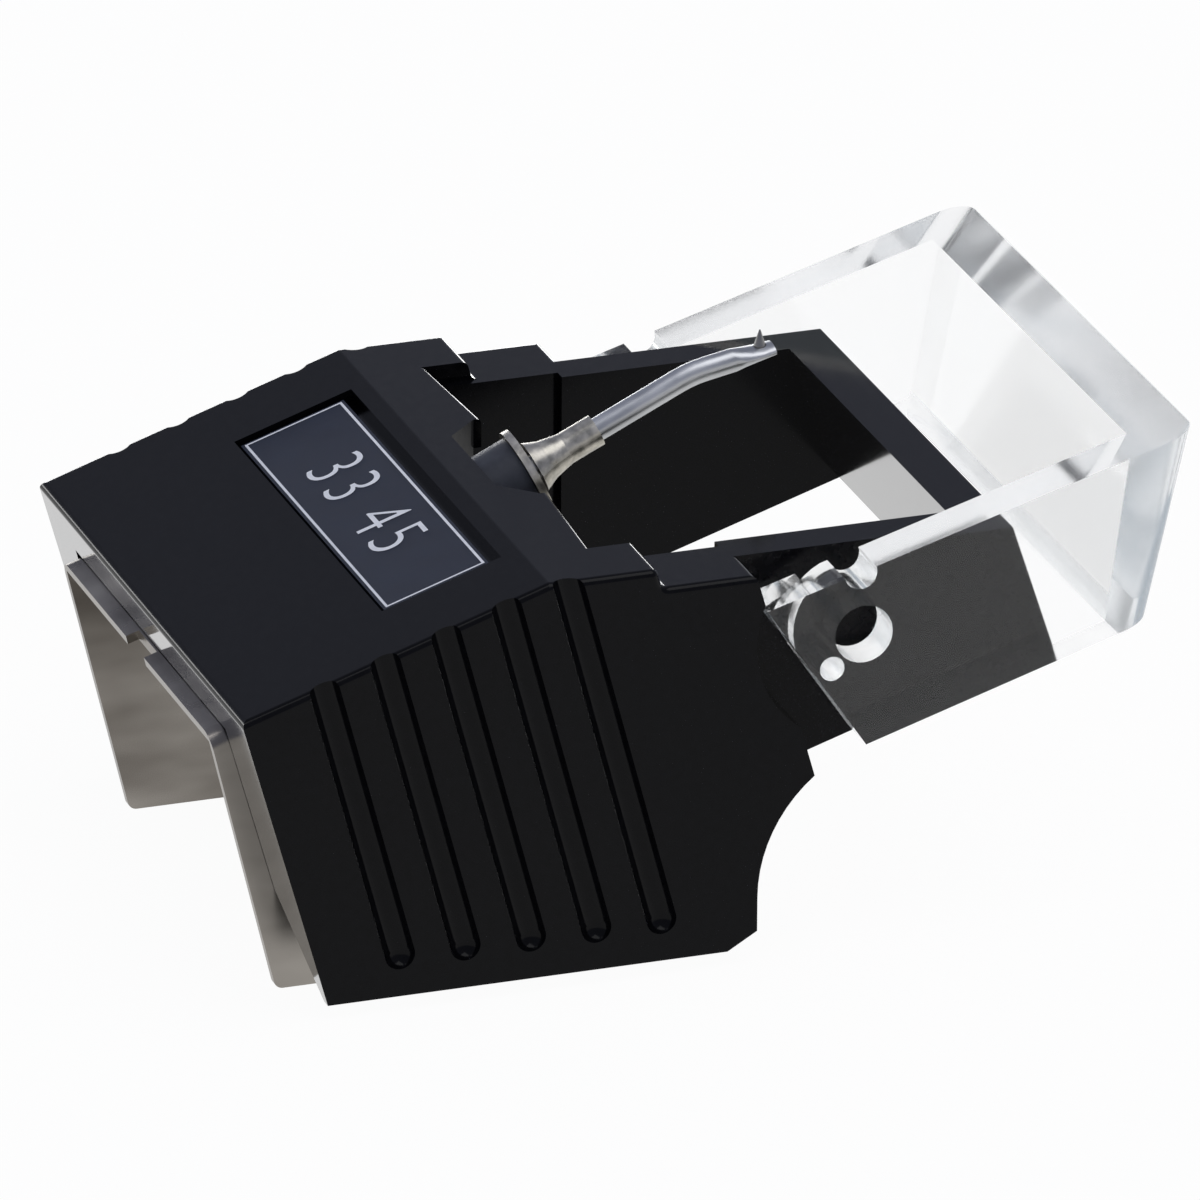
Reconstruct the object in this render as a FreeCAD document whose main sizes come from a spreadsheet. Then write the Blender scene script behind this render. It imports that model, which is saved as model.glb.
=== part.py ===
import FreeCAD, Part
import math
import os
import re
import Sketcher

# Turntable stylus lying with its diamond upward, in millimetres.
# X runs across the grip, Y runs forward to the guard, Z is up.
# The origin is on the plane it rests on, under the middle of the whole part.

SIZES = {
    # How far cutting tools run past the material, and how far joined features run into each other
    "past": 1.0, "sink": 0.2,
    # Grip, lengths forward are measured from the rear edge of its top face
    "rear_y": -12.79, "half_width": 8.5, "rear_z": 8.45, "top_pitch": 18.5, "bend_fwd": 8.2,
    "ear_long": 2.9, "ear_wide": 2.0, "step_drop": 0.52, "block_long": 2.66, "wall_lean": 15.8,
    "foot_z": 0.4, "toe_back": 0.71, "toe_rise": 0.47, "edge_round": 0.2,
    "scoop_r": 4.05, "scoop_out": 0.09, "scoop_z": 1.82, "scoop_top": 4.9,
    "side_wall": 2.25, "top_wall": 1.15, "front_set": 0.4, "front_wall": 1.36, "front_drop": 3.79,
    "bevel_in": 1.95, "bevel_up": 2.4, "lip_out": 0.22, "lip_high": 0.8, "lip_round": 0.15,
    # Finger grooves
    "groove_r": 0.42, "groove_out": 0.12, "groove_low": 1.55, "groove_fwd": 4.21, "groove_pitch": 1.76,
    "groove_lean": 15.0,
    # Arms, the front wall between them and the pivots of the guard
    "arm_thick": 1.08, "arm_sink": 0.24, "arm_long": 7.32, "arm_lean": 18.4, "arm_set": 0.04,
    "arm_rise": 18.0, "bar_deep": 1.25, "pivot_out": 2.9, "pivot_drop": 1.944,
    "pivot_r": 0.74, "pivot_long": 0.45, "pivot_play": 0.04,
    # Clear guard, measured from its pivot
    "guard_thick": 1.35, "guard_play": 0.15, "heel_top_back": 2.61, "heel_top_up": 0.95, "nose_fwd": 9.02,
    "nose_up": 4.44, "chin_fwd": 7.87, "chin_down": 0.62, "heel_low_fwd": 0.1, "heel_low_down": 3.07,
    "plate_top": 1.37, "plate_low": 0.9, "corner_round": 0.7, "sweep_play": 0.12,
    "top_hole_r": 0.44, "top_hole_back": 0.1, "top_hole_up": 1.69,
    "low_hole_r": 0.33, "low_hole_back": 0.85, "low_hole_down": 0.85,
    "track_r": 1.8, "track_wide": 0.24, "track_deep": 0.4, "track_from": 112.0, "track_turn": 92.0,
    # Label and its recess in the sloping face
    "recess_side": 2.5, "recess_from": 4.8, "recess_long": 3.37, "recess_deep": 0.4,
    "label_side": 0.18, "label_long": 2.95, "label_thick": 0.28, "label_gap": 0.1,
    # Steel channel
    "sheet": 0.25, "channel_back": 0.1, "channel_lean": 13.6, "channel_play": 0.05, "channel_bend": 0.5,
    "channel_step": 0.2, "channel_nose": 2.04, "channel_corner": 0.25,
    "web_notch_half": 0.75, "web_notch_deep": 0.35,
    # Stylus tube carrier, all along one sloping axis through its root point
    "root_out": 0.59, "root_drop": 0.474, "tube_pitch": 25.8, "carrier_r": 1.05, "carrier_bore": 0.85,
    "carrier_long": 2.15, "flange_r": 1.2, "flange_bore": 0.6, "flange_thick": 0.2, "flange_front": 0.05,
    "seat_play": 0.02, "notch_half": 1.75, "notch_flare": 0.9, "notch_deep": 0.91, "notch_drop": 1.09,
    "boss_half": 2.1, "boss_deep": 2.46, "boss_drop": 3.19,
    "damper_r": 0.78, "damper_bore": 0.44, "damper_mid": 0.42, "damper_long": 0.36,
    "plug_long": 0.4, "wire_r": 0.05,
    # Cantilever
    "tube_r": 0.315, "tube_bore": 0.24, "tube_back": 1.55, "run_one": 4.9, "run_two": 2.28,
    "tip_pitch": 11.0, "elbow_r": 3.0, "flat_long": 1.1, "flat_wide": 0.4, "flat_high": 0.19,
    "flat_mid": 0.5, "flat_end_wide": 0.34, "flat_end_high": 0.16,
    "collar_base": 0.71, "collar_waist": 0.54, "collar_r": 0.43, "collar_from": 0.18, "collar_bell": 0.38,
    "collar_flare": 0.55, "collar_to": 2.05,
    "magnet_r": 0.55, "magnet_long": 0.75, "magnet_back": 1.5,
    "diamond_r": 0.16, "diamond_tip_r": 0.02, "diamond_high": 0.42, "diamond_back": 0.36, "shank_deep": 0.3,
}
# Places that follow from the sizes and that several pieces share
DERIVED = {
    "slope": "tan(top_pitch)",
    "lean": "tan(wall_lean)",
    "bend_z": "(rear_z + bend_fwd * slope)",
    "block_z": "(bend_z - step_drop)",
    "ear_fwd": "(bend_fwd + ear_long)",
    "ear_in": "(half_width - ear_wide)",
    "block_fwd": "(ear_fwd + block_long)",
    "wall_nose": "(block_fwd + (block_z - scoop_top) * lean)",
    "toe_fwd": "(block_fwd - toe_back)",
    "scoop_back": "(block_fwd + scoop_out)",
    "cavity_half": "(half_width - side_wall)",
    "front_wall_back": "(bend_fwd + front_set)",
    "front_wall_fwd": "(front_wall_back + front_wall)",
    "front_wall_low": "(bend_z - front_drop)",
    "guard_in": "(half_width - guard_thick)",
    "arm_out": "(guard_in - guard_play)",
    "arm_in": "(arm_out - arm_thick)",
    "arm_back": "(block_fwd - arm_sink)",
    "arm_fwd": "(block_fwd + arm_long)",
    "arm_low": "(scoop_top + arm_set)",
    "arm_nose": "((arm_fwd + (block_z - arm_low + wall_nose * tan(arm_rise)) * tan(arm_lean))"
                " / (1 + tan(arm_lean) * tan(arm_rise)))",
    "arm_nose_z": "(arm_low + (arm_nose - wall_nose) * tan(arm_rise))",
    "pivot_fwd": "(block_fwd + pivot_out)",
    "pivot_z": "(block_z - pivot_drop)",
    "recess_half": "(half_width - recess_side)",
    "label_half": "(recess_half - label_side)",
    "channel_half": "(cavity_half - channel_play)",
    "channel_fwd": "(front_wall_fwd + channel_nose)",
    "channel_step_z": "(front_wall_low - channel_step)",
    "root_fwd": "(front_wall_fwd + root_out)",
    "root_z": "(bend_z - root_drop)",
    "lip_fwd": "(front_wall_fwd + lip_out)",
    "notch_mouth": "(notch_half + notch_flare)",
    "notch_back": "(front_wall_fwd - notch_deep)",
    "notch_low": "(bend_z - notch_drop)",
    "boss_back": "(front_wall_fwd - boss_deep)",
    "boss_low": "(bend_z - boss_drop)",
}
GROOVES = 5
# From one side of the grip to the other, with room to spare
RIGHT_ACROSS = ("-half_width - past", "half_width + past")
# Distance within which a corner counts as lying where an edge is looked for
NEAR = 0.01
# Turn that stands a flat drawing up in the plane seen from the side
SIDEWAYS = FreeCAD.Rotation(FreeCAD.Vector(1, 1, 1), 120)

doc = FreeCAD.newDocument("stylus")
sheet = doc.addObject("Spreadsheet::Sheet", "dims")
for row, (alias, value) in enumerate(SIZES.items(), start=1):
    sheet.set(f"A{row}", alias)
    sheet.set(f"B{row}", str(value))
    sheet.setAlias(f"B{row}", alias)
doc.recompute()


def bound(text):
    """Expression with shared places worked out and each name of the sheet written in full."""
    def full(word):
        if word[0] in DERIVED:
            return bound(DERIVED[word[0]])
        return "dims." + word[0] if word[0] in SIZES else word[0]
    return re.sub(r"[a-z_]+", full, text)


def bind(thing, **rules):
    """Drives properties of a feature by expressions."""
    for name, text in rules.items():
        thing.setExpression(name.replace("__", "."), bound(text))
    return thing


def make(kind, name):
    return doc.addObject(kind, name)


def at(thing, x="0", y="0", z="0", forward=True, turn=None):
    """Places a feature; y is measured forward from the rear edge, turn is an angle about X."""
    if turn is not None:
        thing.Placement = FreeCAD.Placement(FreeCAD.Vector(), FreeCAD.Rotation(FreeCAD.Vector(1, 0, 0), 1))
        bind(thing, Placement__Rotation__Angle=turn)
    far = f"rear_y + {y}" if forward else y
    return bind(thing, Placement__Base__x=x, Placement__Base__y=far, Placement__Base__z=z)


def outline(name, corners):
    """Closed polygon sketch, every corner held by two distances bound to the sheet."""
    sketch = make("Sketcher::SketchObject", name)
    count = len(corners)
    spots = [FreeCAD.Vector(10 + index, index * index, 0) for index in range(count)]
    for index in range(count):
        sketch.addGeometry(Part.LineSegment(spots[index], spots[(index + 1) % count]))
    for index in range(count):
        sketch.addConstraint(Sketcher.Constraint("Coincident", index, 2, (index + 1) % count, 1))
    for index, (across, up) in enumerate(corners):
        for kind, text, start in (("DistanceX", across, spots[index].x), ("DistanceY", up, spots[index].y)):
            number = sketch.addConstraint(Sketcher.Constraint(kind, -1, 1, index, 1, start))
            sketch.renameConstraint(number, f"{kind}{index}")
            sketch.setExpression(f"Constraints.{kind}{index}", bound(text))
    return sketch


def side_prism(name, corners, low, high):
    """Solid with a side outline of (forward, up) corners, running across from low to high."""
    sketch = outline(name + "_outline", [(f"rear_y + {fwd}", up) for fwd, up in corners])
    sketch.Placement = FreeCAD.Placement(FreeCAD.Vector(), SIDEWAYS)
    bind(sketch, Placement__Base__x=low)
    solid = make("Part::Extrusion", name)
    solid.Base = sketch
    solid.DirMode = "Custom"
    solid.Dir = FreeCAD.Vector(1, 0, 0)
    solid.Solid = True
    return bind(solid, LengthFwd=f"({high}) - ({low})")


def plan_prism(name, corners, low, high):
    """Solid with a plan outline of (across, forward) corners, standing at a height."""
    sketch = outline(name + "_outline", [(across, f"rear_y + {fwd}") for across, fwd in corners])
    bind(sketch, Placement__Base__z=low)
    solid = make("Part::Extrusion", name)
    solid.Base = sketch
    solid.DirMode = "Custom"
    solid.Dir = FreeCAD.Vector(0, 0, 1)
    solid.Solid = True
    return bind(solid, LengthFwd=high)


def box(name, wide, deep, high):
    return bind(make("Part::Box", name), Length=wide, Width=deep, Height=high)


def round_bar(name, radius, long):
    return bind(make("Part::Cylinder", name), Radius=radius, Height=long)


def cross_bar(name, radius, low, high, fwd, up):
    """Round bar along X from low to high."""
    bar = round_bar(name, radius, f"({high}) - ({low})")
    bar.Placement = FreeCAD.Placement(FreeCAD.Vector(), FreeCAD.Rotation(FreeCAD.Vector(0, 1, 0), 90))
    return at(bar, low, fwd, up)


def along(thing, distance):
    """Places a round feature on the stylus axis, starting at a distance forward of the root point."""
    fwd = f"root_fwd + ({distance}) * cos(tube_pitch)"
    return at(thing, "0", fwd, f"root_z + ({distance}) * sin(tube_pitch)", turn="tube_pitch - 90")


def fuse(name, parts):
    joined = make("Part::MultiFuse", name)
    joined.Shapes = parts
    joined.Refine = True
    return joined


def cut(name, base, tools):
    tool = tools[0] if len(tools) == 1 else fuse(name + "_tools", tools)
    result = make("Part::Cut", name)
    result.Base = base
    result.Tool = tool
    result.Refine = True
    return result


def twin(thing):
    """The feature and its mirror image on the other side."""
    image = make("Part::Mirroring", thing.Name + "_twin")
    image.Source = thing
    image.Normal = FreeCAD.Vector(1, 0, 0)
    return [thing, image]


def rounded(name, base, radius, wanted, across=None):
    """Rounds the edges whose end points pass a test: all, only those that run across, or only the others."""
    doc.recompute()
    size = sheet.get(radius)
    picked = []
    for number, edge in enumerate(base.Shape.Edges, start=1):
        ends = [vertex.Point for vertex in edge.Vertexes]
        run = ends[-1] - ends[0]
        kept = across is None or across == (abs(run.x) > abs(run.y))
        if all(wanted(end) for end in ends) and kept:
            picked.append((number, size, size))
    fillet = make("Part::Fillet", name)
    fillet.Base = base
    fillet.Edges = picked
    return fillet


def grip_shell():
    """Outer block of the grip with its sloping top, hollowed from below."""
    step_fwd = "(ear_fwd + step_drop * lean)"
    heel = "(rear_z - foot_z) * lean"
    block = side_prism("grip_block", [
        ("0", "rear_z"), (heel, "foot_z"), ("toe_fwd", "foot_z"), ("scoop_back", "foot_z + toe_rise"),
        ("scoop_back", "scoop_z"), ("wall_nose", "scoop_z"), ("wall_nose", "scoop_top"),
        ("block_fwd", "block_z"), (step_fwd, "block_z"), ("ear_fwd", "bend_z"), ("bend_fwd", "bend_z")],
        "-half_width", "half_width")
    side = sheet.get("half_width")
    high = sheet.get("rear_z") - NEAR
    block = rounded("grip_rounded", block, "edge_round",
                    lambda p: p.z > high and abs(abs(p.x) - side) < NEAR)
    under = "(rear_z - top_wall - past * slope)"
    cavity = side_prism("cavity", [
        ("-past", under), ("-past", "-past"), ("front_wall_back", "-past"),
        ("front_wall_back", "bend_z - top_wall"), ("bend_fwd", "bend_z - top_wall")],
        "-cavity_half", "cavity_half")
    mouth = box("front_mouth", "2 * cavity_half", "block_fwd", "rear_z * 2")
    at(mouth, "-cavity_half", "front_wall_fwd", "-past")
    low_mouth = box("low_mouth", "2 * cavity_half", "block_fwd", "front_wall_low + past")
    at(low_mouth, "-cavity_half", "bend_fwd", "-past")
    ears = box("ear_gap", "2 * ear_in", "block_fwd", "rear_z")
    at(ears, "-ear_in", "front_wall_fwd", "block_z")
    scoop = cross_bar("scoop", "scoop_r", *RIGHT_ACROSS, "scoop_back + scoop_r", "scoop_z")
    recess = box("recess", "2 * recess_half", "recess_long", "recess_deep + past")
    reach = "recess_from * cos(top_pitch) + recess_deep * sin(top_pitch)"
    height = "rear_z + recess_from * sin(top_pitch) - recess_deep * cos(top_pitch)"
    at(recess, "-recess_half", reach, height, turn="top_pitch")
    sweep = "sqrt(heel_top_back^2 + heel_top_up^2) + sweep_play"
    relief = cross_bar("heel_relief", sweep, "arm_out", "half_width + past", "pivot_fwd", "pivot_z")
    tools = [cavity, mouth, low_mouth, ears, scoop, recess]
    for tool in (relief, wall_bevel(), *finger_grooves()):
        tools += twin(tool)
    return cut("grip_shell", block, tools)


def wall_bevel():
    """Wedge taken off the inner lower edge of a side wall."""
    sketch = outline("bevel_outline", [
        ("cavity_half - sink", "foot_z - past"), ("cavity_half + bevel_in", "foot_z - past"),
        ("cavity_half + bevel_in", "foot_z"), ("cavity_half", "foot_z + bevel_up"),
        ("cavity_half - sink", "foot_z + bevel_up")])
    sketch.Placement = FreeCAD.Placement(FreeCAD.Vector(), FreeCAD.Rotation(FreeCAD.Vector(1, 0, 0), 90))
    bind(sketch, Placement__Base__y="rear_y - past")
    wedge = make("Part::Extrusion", "bevel")
    wedge.Base = sketch
    wedge.DirMode = "Custom"
    wedge.Dir = FreeCAD.Vector(0, 1, 0)
    wedge.Solid = True
    return bind(wedge, LengthFwd="block_fwd + 2 * past")


def finger_grooves():
    """Round-bottomed grooves of one side wall, open at the top edge."""
    for number in range(GROOVES):
        fwd = f"groove_fwd + {number} * groove_pitch"
        bar = at(round_bar(f"groove_{number}", "groove_r", "rear_z * 1.5"),
                 "half_width + groove_out", fwd, "groove_low", turn="groove_lean")
        ball = bind(make("Part::Sphere", f"groove_end_{number}"), Radius="groove_r")
        at(ball, "half_width + groove_out", fwd, "groove_low")
        yield fuse(f"finger_groove_{number}", [bar, ball])


def arm():
    """Forward arm on one side with the pivot boss of the guard."""
    plate = side_prism("arm_plate", [
        ("arm_back", "block_z"), ("arm_back", "arm_low + past"), ("wall_nose", "arm_low"),
        ("arm_nose", "arm_nose_z"), ("arm_fwd", "block_z")], "arm_in", "arm_out")
    reach = ("arm_out - sink", "arm_out + pivot_long")
    boss = cross_bar("pivot_boss", "pivot_r", *reach, "pivot_fwd", "pivot_z")
    return fuse("arm", [plate, boss])


def housing():
    """Black grip: one moulding with arms, front wall and the boss that holds the stylus tube."""
    bar = side_prism("front_wall_plate", [
        ("arm_fwd - bar_deep", "block_z"), ("arm_nose - bar_deep", "arm_nose_z"), ("arm_nose", "arm_nose_z"),
        ("arm_fwd", "block_z")], "-arm_in - sink", "arm_in + sink")
    boss_top = "(bend_z - top_wall + sink)"
    boss = side_prism("carrier_boss", [
        ("boss_back", boss_top), (f"boss_back + ({boss_top} - boss_low) * slope", "boss_low"),
        ("front_wall_fwd", "boss_low"), ("front_wall_fwd", boss_top)], "-boss_half", "boss_half")
    whole = fuse("grip_whole", [grip_shell(), front_lip(), boss, bar, *twin(arm())])
    bore = round_bar("carrier_seat", "carrier_r + seat_play", "carrier_long + past")
    along(bore, "-carrier_long - seat_play")
    bored = cut("grip_bored", whole, [bore, top_notch()])
    return rounded("housing", bored, "lip_round", on_lip, across=True)


def on_lip(point):
    """Whether a point lies on the top's front edge."""
    size = sheet.get
    bend = size("rear_z") + size("bend_fwd") * math.tan(math.radians(size("top_pitch")))
    front = size("rear_y") + size("bend_fwd") + size("front_set") + size("front_wall")
    ahead = point.y > front - NEAR and point.y < front + size("lip_out") + NEAR
    inside = abs(point.x) < size("half_width") - size("ear_wide") + NEAR
    return ahead and inside and abs(point.z - bend) < NEAR


def front_lip():
    """Front edge of the top, bowed forward on both sides of the stylus tube."""
    return plan_prism("front_lip", [
        ("-ear_in", "front_wall_back"), ("ear_in", "front_wall_back"), ("ear_in", "front_wall_fwd"),
        ("notch_mouth", "lip_fwd"), ("-notch_mouth", "lip_fwd"), ("-ear_in", "front_wall_fwd")],
        "bend_z - lip_high", "lip_high")


def top_notch():
    """Notch in the top's front edge that the stylus tube lies in, wider toward the front."""
    return plan_prism("top_notch", [
        ("-notch_half", "notch_back"), ("notch_half", "notch_back"), ("notch_mouth", "front_wall_fwd"),
        ("notch_mouth", "lip_fwd + past"), ("-notch_mouth", "lip_fwd + past"),
        ("-notch_mouth", "front_wall_fwd")], "notch_low", "rear_z")


def label_plate():
    """Thin plate lying in the recess of the sloping face."""
    plate = box("label_plate", "2 * label_half", "label_long", "label_thick")
    start = "(recess_from + label_gap)"
    floor = "(recess_deep - seat_play)"
    return at(plate, "-label_half", f"{start} * cos(top_pitch) + {floor} * sin(top_pitch)",
              f"rear_z + {start} * sin(top_pitch) - {floor} * cos(top_pitch)", turn="top_pitch")


def shield_channel():
    """Folded sheet channel under the top wall, its side plates stepped at the front."""
    top = "(rear_z - top_wall - channel_play - channel_back * slope)"
    front = "(boss_back - channel_play)"
    front_top = f"(rear_z + {front} * slope - top_wall - channel_play)"
    heel = f"({top} * tan(channel_lean) - channel_back)"
    outer = side_prism("channel_outer", [
        ("-channel_back", top), (heel, "0"), ("channel_fwd", "0"), ("channel_fwd", "channel_step_z"),
        (front, "channel_step_z"), (front, front_top)], "-channel_half", "channel_half")
    outer = rounded("channel_bent", outer, "channel_bend", on_web, across=False)
    middle = sheet.get("rear_y") / 2
    outer = rounded("channel_cornered", outer, "channel_corner", lambda p: p.z < NEAR and p.y < middle)
    inner = side_prism("channel_inner", [
        ("-channel_back - past", f"{top} - sheet - past * slope"), ("-channel_back - past", "-past"),
        ("channel_fwd + past", "-past"), ("channel_fwd + past", "channel_step_z + past"),
        (f"{front} + past", f"{front_top} - sheet + past * slope")],
        "-channel_half + sheet", "channel_half - sheet")
    web_notch = box("web_notch", "2 * web_notch_half", "web_notch_deep + past", "rear_z")
    at(web_notch, "-web_notch_half", "-channel_back - past", "foot_z")
    return cut("shield_channel", outer, [inner, web_notch])


def on_web(point):
    """Whether a point lies on the channel's upper side edges."""
    rise = (point.y - sheet.get("rear_y")) * math.tan(math.radians(sheet.get("top_pitch")))
    height = sheet.get("rear_z") + rise - sheet.get("top_wall") - sheet.get("channel_play")
    return abs(point.z - height) < NEAR


def guard():
    """Clear flip guard: two arms and a front plate in one moulding."""
    nose = ("pivot_fwd + nose_fwd", "pivot_z + nose_up")
    chin = ("pivot_fwd + chin_fwd", "pivot_z - chin_down")
    heel_top = ("pivot_fwd - heel_top_back", "pivot_z + heel_top_up")
    heel_low = ("pivot_fwd + heel_low_fwd", "pivot_z - heel_low_down")
    outer = side_prism("guard_outer", [heel_top, heel_low, chin, nose], "-half_width", "half_width")
    doc.recompute()
    side = sheet.get("half_width")
    front = outer.Shape.BoundBox.YMax - sheet.get("nose_fwd") + sheet.get("chin_fwd") - NEAR
    outer = rounded("guard_rounded", outer, "corner_round",
                    lambda p: p.y > front and abs(abs(p.x) - side) < NEAR, across=False)
    lean = "((nose_fwd - plate_top - chin_fwd + plate_low) / (nose_up + chin_down))"
    inside = "(pivot_fwd + nose_fwd - plate_top)"
    low = "(chin_down + heel_low_down)"
    inner = side_prism("guard_inner", [
        ("pivot_fwd - heel_top_back - past", "pivot_z + nose_up"),
        ("pivot_fwd - heel_top_back - past", f"pivot_z - {low}"),
        (f"{inside} - (nose_up + {low}) * {lean}", f"pivot_z - {low}"),
        (inside, "pivot_z + nose_up")], "-guard_in", "guard_in")
    top_hole = ("pivot_fwd - top_hole_back", "pivot_z + top_hole_up")
    low_hole = ("pivot_fwd - low_hole_back", "pivot_z - low_hole_down")
    holes = [
        cross_bar("pivot_hole", "pivot_r + pivot_play", *RIGHT_ACROSS, "pivot_fwd", "pivot_z"),
        cross_bar("top_hole", "top_hole_r", *RIGHT_ACROSS, *top_hole),
        cross_bar("low_hole", "low_hole_r", *RIGHT_ACROSS, *low_hole)]
    return cut("guard", outer, [inner, *holes, *twin(arc_track())])


def arc_track():
    """Arc-shaped groove round the pivot, in the inner face of a guard arm."""
    start = FreeCAD.Rotation(FreeCAD.Vector(0, 0, 1), sheet.get("track_from"))
    disc = bind(round_bar("track_disc", "track_r + track_wide / 2", "track_deep + sink"), Angle="track_turn")
    core = round_bar("track_core", "track_r - track_wide / 2", "track_deep + sink")
    for piece in (disc, core):
        piece.Placement = FreeCAD.Placement(FreeCAD.Vector(), SIDEWAYS * start)
        at(piece, "guard_in - sink", "pivot_fwd", "pivot_z")
    return cut("arc_track", disc, [core])


def ring(name, radius, bore, start, long):
    """Round piece on the stylus axis with a hole along it."""
    body = along(round_bar(name + "_body", radius, long), start)
    hole = along(round_bar(name + "_hole", bore, f"{long} + 2 * past"), f"{start} - past")
    return cut(name, body, [hole])


def carrier():
    """Fixed pieces on the stylus axis, from the front disc to the plug that holds the wire."""
    behind = "(flange_front - flange_thick - seat_play / 2)"
    ring("carrier_flange", "flange_r", "flange_bore", "flange_front - flange_thick", "flange_thick")
    ring("carrier_tube", "carrier_r", "carrier_bore", "-carrier_long", f"carrier_long + {behind}")
    ring("wire_plug", "carrier_bore - seat_play", "wire_r + seat_play / 4", "-carrier_long", "plug_long")
    along(round_bar("suspension_wire", "wire_r", "carrier_long - damper_mid"), "-carrier_long")
    ring("damper_ring", "damper_r", "damper_bore", "-damper_mid - damper_long / 2", "damper_long")


def cantilever_tube():
    """Aluminium tube with an elbow and a flattened tip."""
    bend = "(tube_pitch - tip_pitch)"
    tangent = f"(elbow_r * tan({bend} / 2))"
    straight = along(round_bar("tube_straight", "tube_r", f"run_one - {tangent} + tube_back"), "-tube_back")
    elbow = bind(make("Part::Torus", "tube_elbow"), Radius1="elbow_r", Radius2="tube_r", Angle3=bend)
    quarter = FreeCAD.Rotation(FreeCAD.Vector(0, 0, 1), 90 + sheet.get("tip_pitch"))
    elbow.Placement = FreeCAD.Placement(FreeCAD.Vector(), SIDEWAYS * quarter)
    start = f"(run_one - {tangent})"
    at(elbow, "0", f"root_fwd + {start} * cos(tube_pitch) + elbow_r * sin(tube_pitch)",
       f"root_z + {start} * sin(tube_pitch) - elbow_r * cos(tube_pitch)")
    corner = ("(root_fwd + run_one * cos(tube_pitch))", "(root_z + run_one * sin(tube_pitch))")

    def tip(thing, distance):
        return at(thing, "0", f"{corner[0]} + ({distance}) * cos(tip_pitch)",
                  f"{corner[1]} + ({distance}) * sin(tip_pitch)", turn="tip_pitch - 90")

    second = tip(round_bar("tube_second", "tube_r", f"run_two - flat_long - {tangent}"), tangent)
    first_ring = tip(bind(make("Part::Circle", "flat_ring_0"), Radius="tube_r"), "run_two - flat_long")
    rings = [first_ring]
    ovals = (("flat_wide", "flat_high", "run_two - flat_mid"), ("flat_end_wide", "flat_end_high", "run_two"))
    for number, (wide, high, place) in enumerate(ovals, start=1):
        oval = bind(make("Part::Ellipse", f"flat_ring_{number}"), MajorRadius=wide, MinorRadius=high)
        rings.append(tip(oval, place))
    flat = make("Part::Loft", "flat_tip")
    flat.Sections = rings
    flat.Solid = True
    whole = fuse("tube_whole", [straight, elbow, second, flat])
    hollow = round_bar("tube_hollow", "tube_bore", "collar_to + tube_back + past")
    along(hollow, "-tube_back - past")
    hole = round_bar("shank_hole", "diamond_r + seat_play / 2", "3 * shank_deep")
    at(hole, "0", f"{corner[0]} + (run_two - diamond_back) * cos(tip_pitch)",
       f"{corner[1]} + (run_two - diamond_back) * sin(tip_pitch) - 1.5 * shank_deep")
    cut("cantilever_tube", whole, [hollow, hole])
    return corner


def diamond_tip(corner):
    """Diamond on a short round shank let into the flattened tip, pointing straight up."""
    fwd = f"{corner[0]} + (run_two - diamond_back) * cos(tip_pitch)"
    base = f"{corner[1]} + (run_two - diamond_back) * sin(tip_pitch) + flat_high"
    shank = at(round_bar("diamond_shank", "diamond_r", "shank_deep"), "0", fwd, f"{base} - shank_deep")
    point = make("Part::Cone", "diamond_point")
    bind(point, Radius1="diamond_r", Radius2="diamond_tip_r", Height="diamond_high")
    at(point, "0", fwd, base)
    return fuse("diamond_tip", [shank, point])


def collar():
    """Trumpet-shaped sleeve at the root of the cantilever."""
    bell = make("Part::Cone", "collar_bell_body")
    bind(bell, Radius1="collar_base", Radius2="collar_waist", Height="collar_bell")
    along(bell, "collar_from")
    flare = make("Part::Cone", "collar_flare_body")
    bind(flare, Radius1="collar_waist", Radius2="collar_r", Height="collar_flare")
    along(flare, "collar_from + collar_bell")
    start = "collar_from + collar_bell + collar_flare"
    sleeve = along(round_bar("collar_sleeve", "collar_r", f"collar_to - ({start})"), start)
    hole = along(round_bar("collar_hole", "tube_r + seat_play / 2", "collar_to + past"), "0")
    return cut("collar", fuse("collar_whole", [bell, flare, sleeve]), [hole])


housing()
label_plate()
shield_channel()
guard()
carrier()
diamond_tip(cantilever_tube())
collar()
ring("magnet", "magnet_r", "tube_r + seat_play / 2", "-magnet_back", "magnet_long")

PIECES = ["housing", "label_plate", "shield_channel", "guard", "carrier_tube", "carrier_flange",
          "damper_ring", "suspension_wire", "wire_plug", "cantilever_tube", "collar", "magnet", "diamond_tip"]

doc.recompute()
for thing in doc.Objects:
    if "Invalid" in thing.State or "Error" in thing.State:
        raise RuntimeError(f"{thing.Name} failed: {thing.State}")
os.makedirs("parts", exist_ok=True)
for name in PIECES:
    piece = doc.getObject(name)
    piece.Label = name
    if piece.Shape.isNull() or not piece.Shape.isValid() or len(piece.Shape.Solids) != 1:
        raise RuntimeError(f"{name} is not one valid solid")
    print(name, round(piece.Shape.Volume, 3), piece.Shape.BoundBox)
    piece.Shape.exportStep(f"parts/{name}.step")
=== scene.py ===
import math

import bpy
from mathutils import Matrix, Vector


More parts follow.
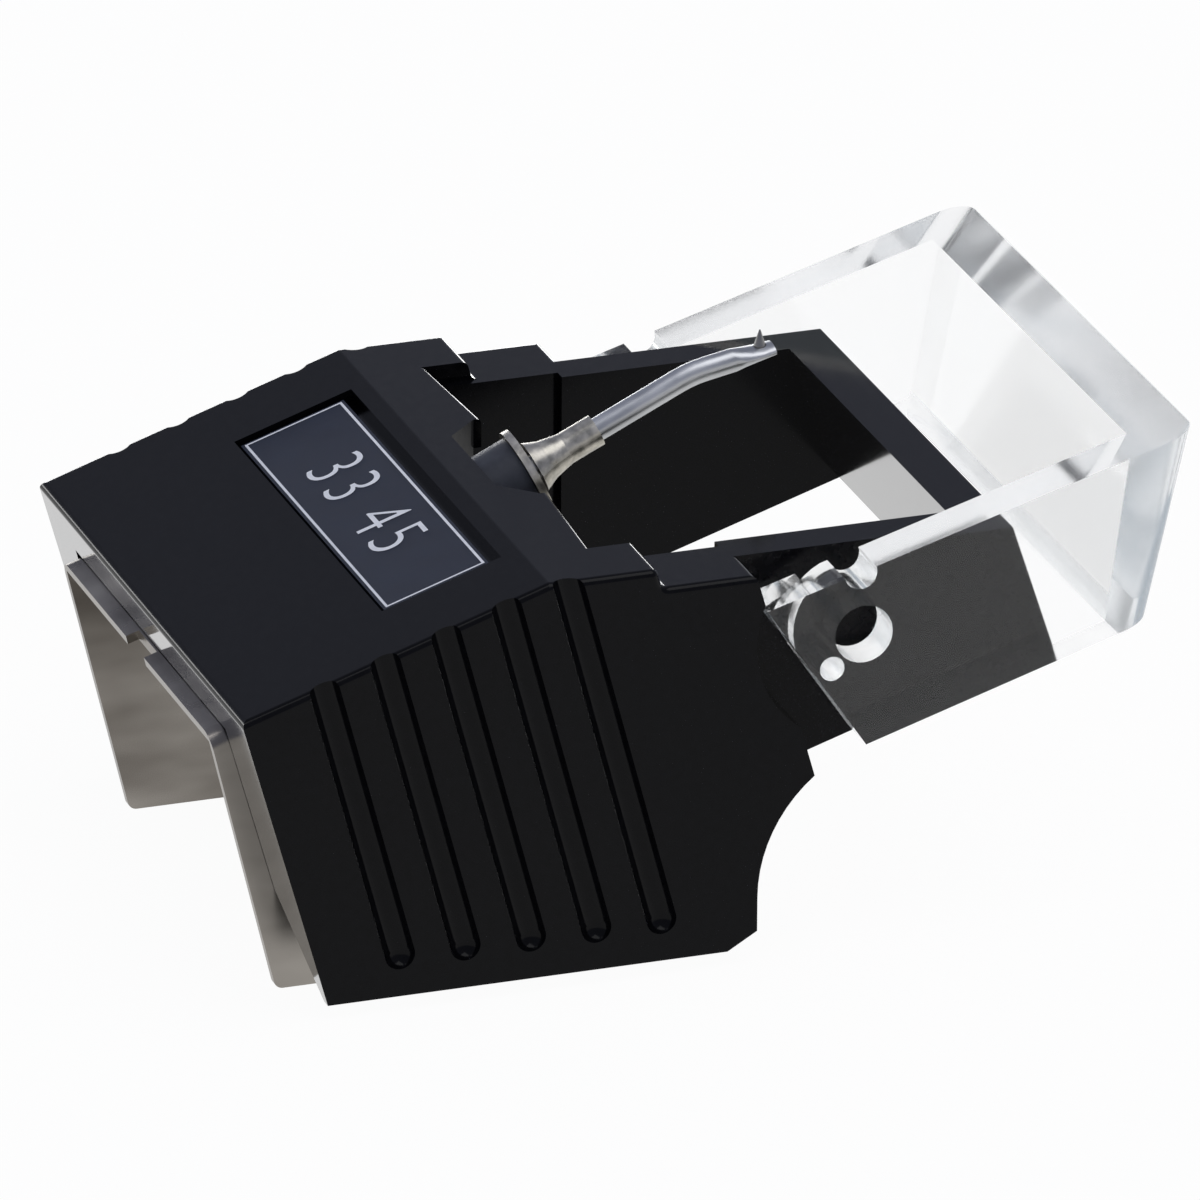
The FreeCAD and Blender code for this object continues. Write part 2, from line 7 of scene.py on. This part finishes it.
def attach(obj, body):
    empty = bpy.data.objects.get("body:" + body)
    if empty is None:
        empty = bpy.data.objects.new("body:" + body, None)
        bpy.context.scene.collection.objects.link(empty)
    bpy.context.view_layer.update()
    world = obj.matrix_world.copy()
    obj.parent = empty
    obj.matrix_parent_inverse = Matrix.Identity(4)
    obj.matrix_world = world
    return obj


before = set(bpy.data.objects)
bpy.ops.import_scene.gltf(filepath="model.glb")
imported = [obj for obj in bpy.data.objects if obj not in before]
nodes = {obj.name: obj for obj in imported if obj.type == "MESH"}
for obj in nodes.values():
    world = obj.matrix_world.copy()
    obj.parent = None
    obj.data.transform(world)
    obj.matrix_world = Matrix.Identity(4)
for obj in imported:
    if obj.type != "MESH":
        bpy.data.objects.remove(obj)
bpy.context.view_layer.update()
MM = 0.001
EVEN = (1.0, 1.0, 1.0)
WHITE = (1.0, 1.0, 1.0)
# Middle stretch of a noise factor, over which a finish varies
GRAIN_SPAN = (0.3, 0.7)
# How far edge on a moulded face is seen where its gloss starts and where it is full
EDGE_SPAN = (0.72, 0.82)
RELIEF_STRENGTH = 0.6


# Node helpers

def new_material(name):
    """Empty material with its principled shader."""
    material = bpy.data.materials.new(name)
    material.use_nodes = True
    return material, material.node_tree, material.node_tree.nodes["Principled BSDF"]


def grain(tree, scale, stretch):
    """Noise in the object's own metres, as a factor."""
    place = tree.nodes.new("ShaderNodeTexCoord")
    mapping = tree.nodes.new("ShaderNodeMapping")
    mapping.inputs["Scale"].default_value = stretch
    noise = tree.nodes.new("ShaderNodeTexNoise")
    noise.inputs["Scale"].default_value = scale
    noise.inputs["Detail"].default_value = 3.0
    tree.links.new(place.outputs["Object"], mapping.inputs["Vector"])
    tree.links.new(mapping.outputs["Vector"], noise.inputs["Vector"])
    return noise.outputs["Fac"]


def ramp(tree, factor, low, high, span=GRAIN_SPAN):
    """Colours from low to high over a span of a factor."""
    node = tree.nodes.new("ShaderNodeValToRGB")
    for element, place, colour in zip(node.color_ramp.elements, span, (low, high)):
        element.position = place
        element.color = (*colour, 1.0)
    tree.links.new(factor, node.inputs["Fac"])
    return node.outputs["Color"]


def spread(tree, factor, low, high, span=GRAIN_SPAN):
    """Single value from low to high over a span of a factor."""
    node = tree.nodes.new("ShaderNodeMapRange")
    node.inputs["From Min"].default_value = span[0]
    node.inputs["From Max"].default_value = span[1]
    node.inputs["To Min"].default_value = low
    node.inputs["To Max"].default_value = high
    tree.links.new(factor, node.inputs["Value"])
    return node.outputs["Result"]


def greatest(tree, factors):
    """The largest of several factors."""
    total = factors[0]
    for factor in factors[1:]:
        node = tree.nodes.new("ShaderNodeMath")
        node.operation = "MAXIMUM"
        tree.links.new(total, node.inputs[0])
        tree.links.new(factor, node.inputs[1])
        total = node.outputs["Value"]
    return total


def bump(tree, shader, factor, depth):
    """Fine surface relief of a depth in metres."""
    node = tree.nodes.new("ShaderNodeBump")
    node.inputs["Distance"].default_value = depth
    node.inputs["Strength"].default_value = RELIEF_STRENGTH
    tree.links.new(factor, node.inputs["Height"])
    tree.links.new(node.outputs["Normal"], shader.inputs["Normal"])


def finish(name, low, high, rough, scale, stretch=EVEN, relief=0.0, **sockets):
    """Procedural finish: colour and roughness vary with the grain, the rest are plain values."""
    material, tree, shader = new_material(name)
    factor = grain(tree, scale, stretch)
    tree.links.new(ramp(tree, factor, low, high), shader.inputs["Base Color"])
    tree.links.new(spread(tree, factor, *rough), shader.inputs["Roughness"])
    if relief:
        bump(tree, shader, factor, relief)
    for socket, value in sockets.items():
        shader.inputs[socket.replace("_", " ")].default_value = value
    return material


def edge_gloss(material):
    """Moulded skin that turns glossy where it is seen edge on."""
    tree = material.node_tree
    facing = tree.nodes.new("ShaderNodeLayerWeight")
    gloss = spread(tree, facing.outputs["Facing"], 0.0, 1.0, EDGE_SPAN)
    tree.links.new(gloss, tree.nodes["Principled BSDF"].inputs["Coat Weight"])


def depth_tint(material, colour, density):
    """Faint tint that grows with the thickness of clear material looked through; density is per metre."""
    tree = material.node_tree
    tint = tree.nodes.new("ShaderNodeVolumeAbsorption")
    tint.inputs["Color"].default_value = (*colour, 1.0)
    tint.inputs["Density"].default_value = density
    tree.links.new(tint.outputs["Volume"], tree.nodes["Material Output"].inputs["Volume"])


# Finishes: darkest and palest colour, range of roughness, and how many grains lie in a metre

black = finish("moulded_black", low=(0.002, 0.002, 0.0026), high=(0.0032, 0.0032, 0.004),
               rough=(0.12, 0.17), scale=4000.0, Specular_IOR_Level=0.1, Coat_IOR=1.8, Coat_Roughness=0.1)
edge_gloss(black)
slate = finish("label_slate", low=(0.016, 0.02, 0.034), high=(0.024, 0.03, 0.048),
               rough=(0.35, 0.5), scale=1400.0, Specular_IOR_Level=0.2)
steel = finish("rolled_steel", low=(0.14, 0.127, 0.113), high=(0.34, 0.318, 0.29),
               rough=(0.2, 0.36), scale=420.0, stretch=(1.0, 0.35, 1.0), relief=0.003 * MM, Metallic=1.0)
dark_steel = finish("blackened_steel", low=(0.05, 0.05, 0.05), high=(0.12, 0.12, 0.115),
                    rough=(0.3, 0.45), scale=1500.0, Metallic=1.0)
nickel = finish("bright_nickel", low=(0.24, 0.23, 0.2), high=(0.6, 0.57, 0.5),
                rough=(0.26, 0.42), scale=3200.0, relief=0.01 * MM, Metallic=1.0)
aluminium = finish("drawn_aluminium", low=(0.36, 0.37, 0.38), high=(0.58, 0.59, 0.6),
                   rough=(0.3, 0.45), scale=2500.0, stretch=(1.0, 0.2, 0.4), relief=0.004 * MM, Metallic=1.0)
rubber = finish("soft_rubber", low=(0.012, 0.012, 0.012), high=(0.022, 0.022, 0.022),
                rough=(0.6, 0.8), scale=2500.0)
brass = finish("turned_brass", low=(0.6, 0.42, 0.17), high=(0.72, 0.54, 0.24),
               rough=(0.22, 0.36), scale=2500.0, Metallic=1.0)
carrier = finish("carrier_grey", low=(0.03, 0.033, 0.042), high=(0.05, 0.054, 0.066),
                 rough=(0.4, 0.55), scale=2600.0, Specular_IOR_Level=0.3)
ground = finish("ground_magnet", low=(0.16, 0.16, 0.16), high=(0.24, 0.24, 0.24),
                rough=(0.3, 0.45), scale=2500.0, Metallic=1.0)
gem = finish("ground_diamond", low=(0.03, 0.028, 0.026), high=(0.07, 0.066, 0.06),
             rough=(0.1, 0.25), scale=4000.0, IOR=2.4)
clear = finish("clear_acrylic", low=(0.992, 0.996, 0.998), high=WHITE,
               rough=(0.08, 0.14), scale=500.0, IOR=1.36, Transmission_Weight=1.0)
depth_tint(clear, colour=(0.28, 0.38, 0.46), density=14.0)
ink = finish("pale_ink", low=(0.72, 0.74, 0.77), high=(0.85, 0.86, 0.88),
             rough=(0.45, 0.6), scale=3000.0)

PAINT = {
    "housing": black, "label_plate": slate, "shield_channel": steel, "guard": clear, "carrier_tube": carrier,
    "carrier_flange": nickel, "damper_ring": rubber, "suspension_wire": dark_steel, "wire_plug": brass,
    "cantilever_tube": aluminium, "collar": nickel, "magnet": ground, "diamond_tip": gem}
for node, material in PAINT.items():
    for slot in nodes[node].material_slots:
        slot.material = material


# Print on the label: a thin pale border and two plain numbers

def label_face():
    """Place of the label plate's upper face and half its width and length, read from its mesh."""
    plate = nodes["label_plate"]
    upward = max((polygon.normal for polygon in plate.data.polygons), key=lambda normal: normal.z).copy()
    across = Vector((1.0, 0.0, 0.0))
    along = upward.cross(across)
    spots = [plate.matrix_world @ vertex.co for vertex in plate.data.vertices]
    middle = upward * max(spot.dot(upward) for spot in spots)
    halves = []
    for axis in (across, along):
        low = min(spot.dot(axis) for spot in spots)
        high = max(spot.dot(axis) for spot in spots)
        middle += axis * (high + low) / 2
        halves.append((high - low) / 2)
    lift = 0.01 * MM
    turned = Matrix((across, along, upward)).transposed().to_4x4()
    return Matrix.Translation(middle + upward * lift) @ turned, halves


def label_border(half_wide, half_long):
    """Four strips that run round the label a little inside its edge."""
    inset = 0.08 * MM
    line = 0.07 * MM
    wide, long = half_wide - inset, half_long - inset
    strips = [
        ((-wide, -long), (wide, -long + line)), ((-wide, long - line), (wide, long)),
        ((-wide, -long + line), (-wide + line, long - line)),
        ((wide - line, -long + line), (wide, long - line))]
    spots = []
    for (left, low), (right, high) in strips:
        spots += [(left, low, 0), (right, low, 0), (right, high, 0), (left, high, 0)]
    mesh = bpy.data.meshes.new("label_border")
    mesh.from_pydata(spots, [], [tuple(range(start, start + 4)) for start in range(0, len(spots), 4)])
    return bpy.data.objects.new("label_border", mesh)


def label_numbers():
    """Two plain numbers in thin strokes."""
    letters = bpy.data.curves.new("label_numbers", "FONT")
    letters.body = "33 45"
    letters.space_character = 1.2
    letters.size = 2.3 * MM
    letters.align_x = "CENTER"
    letters.align_y = "CENTER"
    letters.offset = -0.035 * MM
    words = bpy.data.objects.new("label_letters", letters)
    numbers = bpy.data.objects.new("label_numbers", bpy.data.meshes.new_from_object(words))
    bpy.data.objects.remove(words)
    return numbers


def label_print():
    """Border and numbers lying just above the label plate."""
    place, halves = label_face()
    for thing in (label_border(*halves), label_numbers()):
        bpy.context.scene.collection.objects.link(thing)
        thing.matrix_world = place
        thing.data.materials.clear()
        thing.data.materials.append(ink)
        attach(thing, "base")


label_print()


# Floor and light

def floor():
    """Pale floor that is seen almost white, keeping a faint shadow."""
    reach = 3.0
    drop = 0.02 * MM
    glow_share = 0.96
    mesh = bpy.data.meshes.new("floor")
    corners = [(-reach, -reach, 0), (reach, -reach, 0), (reach, reach, 0), (-reach, reach, 0)]
    mesh.from_pydata(corners, [], [(0, 1, 2, 3)])
    plane = bpy.data.objects.new("floor", mesh)
    bpy.context.scene.collection.objects.link(plane)
    plane.location.z = -drop
    material, tree, shader = new_material("pale_floor")
    shader.inputs["Base Color"].default_value = (0.9, 0.9, 0.9, 1.0)
    shader.inputs["Roughness"].default_value = 0.9
    shader.inputs["Specular IOR Level"].default_value = 0.0
    glow = tree.nodes.new("ShaderNodeEmission")
    glow.inputs["Strength"].default_value = 1.0
    path = tree.nodes.new("ShaderNodeLightPath")
    kinds = ("Is Camera Ray", "Is Glossy Ray", "Is Transmission Ray")
    seen = greatest(tree, [path.outputs[kind] for kind in kinds])
    share = tree.nodes.new("ShaderNodeMath")
    share.operation = "MULTIPLY"
    share.inputs[1].default_value = glow_share
    tree.links.new(seen, share.inputs[0])
    mix = tree.nodes.new("ShaderNodeMixShader")
    tree.links.new(share.outputs["Value"], mix.inputs["Fac"])
    tree.links.new(shader.outputs["BSDF"], mix.inputs[1])
    tree.links.new(glow.outputs["Emission"], mix.inputs[2])
    tree.links.new(mix.outputs["Shader"], tree.nodes["Material Output"].inputs["Surface"])
    mesh.materials.append(material)


def softbox(name, place, wide, high, power):
    """Rectangular area lamp looking at the object."""
    lamp = bpy.data.lights.new(name, "AREA")
    lamp.shape = "RECTANGLE"
    lamp.size = wide
    lamp.size_y = high
    lamp.energy = power
    holder = bpy.data.objects.new(name, lamp)
    bpy.context.scene.collection.objects.link(holder)
    holder.location = place
    holder.rotation_euler = (-Vector(place)).to_track_quat("-Z", "Y").to_euler()
    return holder


def colours(sockets):
    """The colour sockets among a node's inputs or outputs."""
    return [socket for socket in sockets if socket.type == "RGBA"]


def studio():
    """Room light: white low and blue-grey overhead, the other way round through clear pieces."""
    world = bpy.data.worlds.new("studio")
    world.use_nodes = True
    tree = world.node_tree
    place = tree.nodes.new("ShaderNodeTexCoord")
    split = tree.nodes.new("ShaderNodeSeparateXYZ")
    tree.links.new(place.outputs["Generated"], split.inputs["Vector"])
    height = split.outputs["Z"]
    plain = ramp(tree, height, WHITE, (0.34, 0.36, 0.45), span=(0.06, 0.2))
    through = ramp(tree, height, (0.44, 0.49, 0.54), WHITE, span=(0.4, 0.47))
    path = tree.nodes.new("ShaderNodeLightPath")
    blend = tree.nodes.new("ShaderNodeMix")
    blend.data_type = "RGBA"
    tree.links.new(path.outputs["Is Transmission Ray"], blend.inputs["Factor"])
    for colour, socket in zip((plain, through), colours(blend.inputs)):
        tree.links.new(colour, socket)
    tree.links.new(colours(blend.outputs)[0], tree.nodes["Background"].inputs["Color"])
    bpy.context.scene.world = world


floor()
softbox("key_above", place=(0.12, 0.1, 0.55), wide=0.4, high=0.4, power=1.0)
back_panel = softbox("back_panel", place=(-0.45, -0.05, 0.03), wide=0.7, high=0.06, power=0.8)
back_panel.visible_transmission = False
studio()


# Camera at the photograph's viewing angle

def camera():
    """Long lens, turned and raised so that the part lies as it does in the photograph."""
    turn = math.radians(19.421)
    rise = math.radians(22.645)
    roll = math.radians(0.372)
    target = Vector((0.0, -0.263, 6.85)) * MM
    distance = 447.1 * MM
    toward = Vector((math.cos(turn) * math.cos(rise), -math.sin(turn) * math.cos(rise), math.sin(rise)))
    level = Vector((math.sin(turn), math.cos(turn), 0.0))
    upward = toward.cross(level)
    right = level * math.cos(roll) + upward * math.sin(roll)
    top = upward * math.cos(roll) - level * math.sin(roll)
    lens = bpy.data.cameras.new("camera")
    lens.lens = 518.9
    lens.sensor_width = 36.0
    lens.clip_start = 0.01
    holder = bpy.data.objects.new("camera", lens)
    bpy.context.scene.collection.objects.link(holder)
    turned = Matrix((right, top, toward)).transposed().to_4x4()
    holder.matrix_world = Matrix.Translation(target + toward * distance) @ turned
    bpy.context.scene.camera = holder


camera()
bpy.context.scene.view_settings.view_transform = "Standard"

# Enough bounces for light to find its way out of the clear guard
cycles = bpy.context.scene.cycles
cycles.max_bounces = 32
cycles.glossy_bounces = 16
cycles.transmission_bounces = 32
